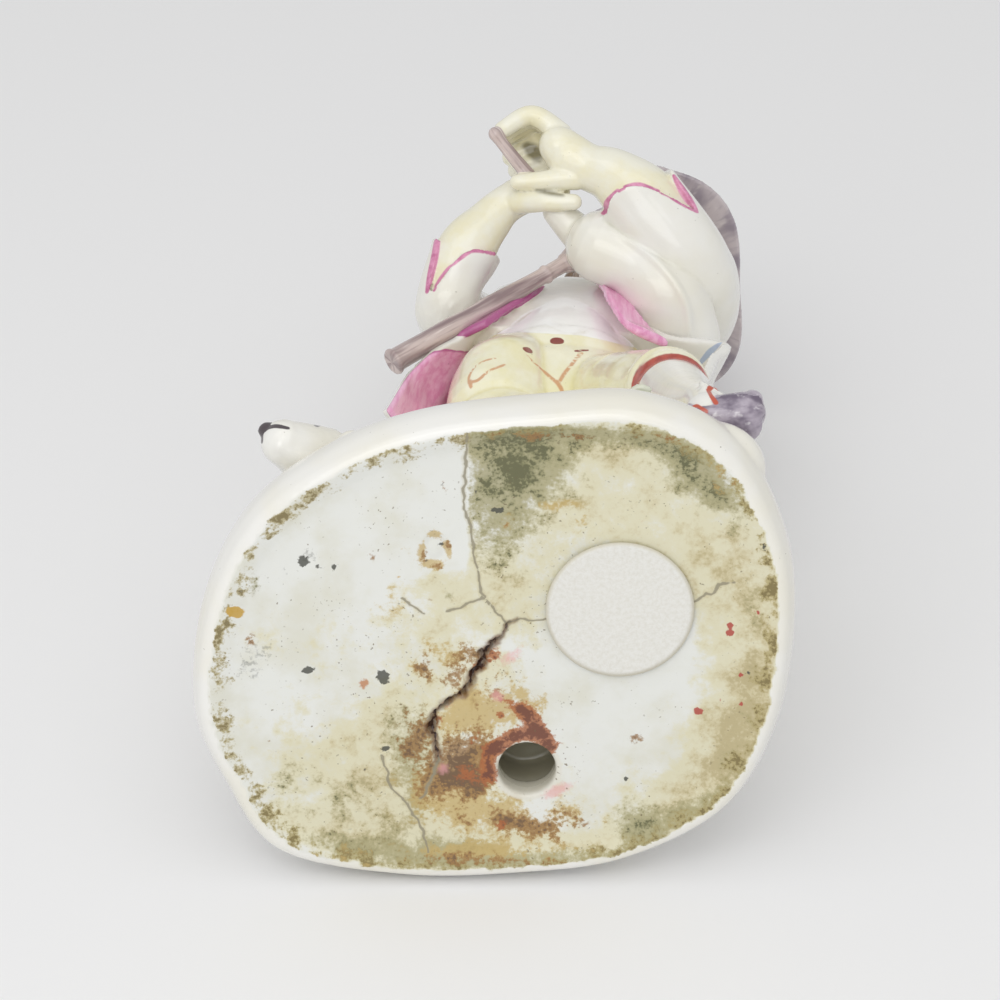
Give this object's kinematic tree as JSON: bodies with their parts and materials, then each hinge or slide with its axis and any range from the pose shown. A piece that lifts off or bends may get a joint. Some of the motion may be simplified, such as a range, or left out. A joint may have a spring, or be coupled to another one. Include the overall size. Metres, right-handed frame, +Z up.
{
  "type": "porcelain shepherd figurine",
  "caption": "Glazed porcelain shepherd playing bagpipes beside a lying dog, leaning on a tree stump, on a low rounded mound base with a flat hollowed underside.",
  "frame": {"origin": "middle of the bounding box, on the flat surface that the foot rim stands on", "axes": "+Z up along the standing figure, -Y towards the figure's front, +X towards the figure's own left hand"},
  "size_m": [0.0832, 0.0765, 0.1482],
  "materials": {
    "glazed_porcelain": "glossy white porcelain glaze with painted enamel colours",
    "label_paper": "matt white paper"
  },
  "bodies": {
    "root": {"shepherd_figurine": "glazed_porcelain", "paper_label": "label_paper"}
  },
  "joints": []
}
